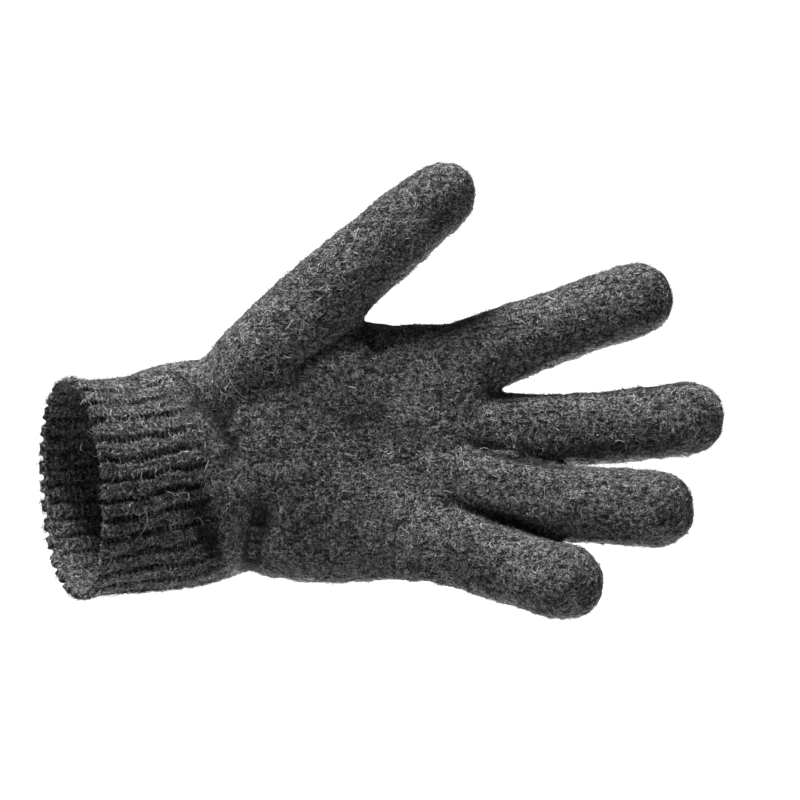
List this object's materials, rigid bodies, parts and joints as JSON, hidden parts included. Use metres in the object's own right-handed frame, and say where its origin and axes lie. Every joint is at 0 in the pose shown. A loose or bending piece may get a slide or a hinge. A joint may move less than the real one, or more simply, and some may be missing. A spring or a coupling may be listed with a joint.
{
  "type": "glove liner",
  "caption": "Thick felted wool glove liner for the left hand, shown as worn: hollow, with a ribbed cuff open at the wrist, a raised thumb and spread fingers.",
  "frame": {"origin": "middle of the wrist opening, in the plane of the cuff's rim", "axes": "+X from the wrist towards the fingertips, +Z towards the thumb, -Y out of the palm"},
  "size_m": [0.2451, 0.0682, 0.1613],
  "materials": {
    "rib_knit": "ribbed charcoal wool knit, matt and fuzzy",
    "felted_knit": "felted charcoal wool knit with pale loose fibres, matt and fuzzy"
  },
  "bodies": {
    "root": {"cuff": "rib_knit", "hand": "felted_knit", "thumb": "felted_knit", "index_finger": "felted_knit", "middle_finger": "felted_knit", "ring_finger": "felted_knit", "little_finger": "felted_knit"}
  },
  "joints": []
}
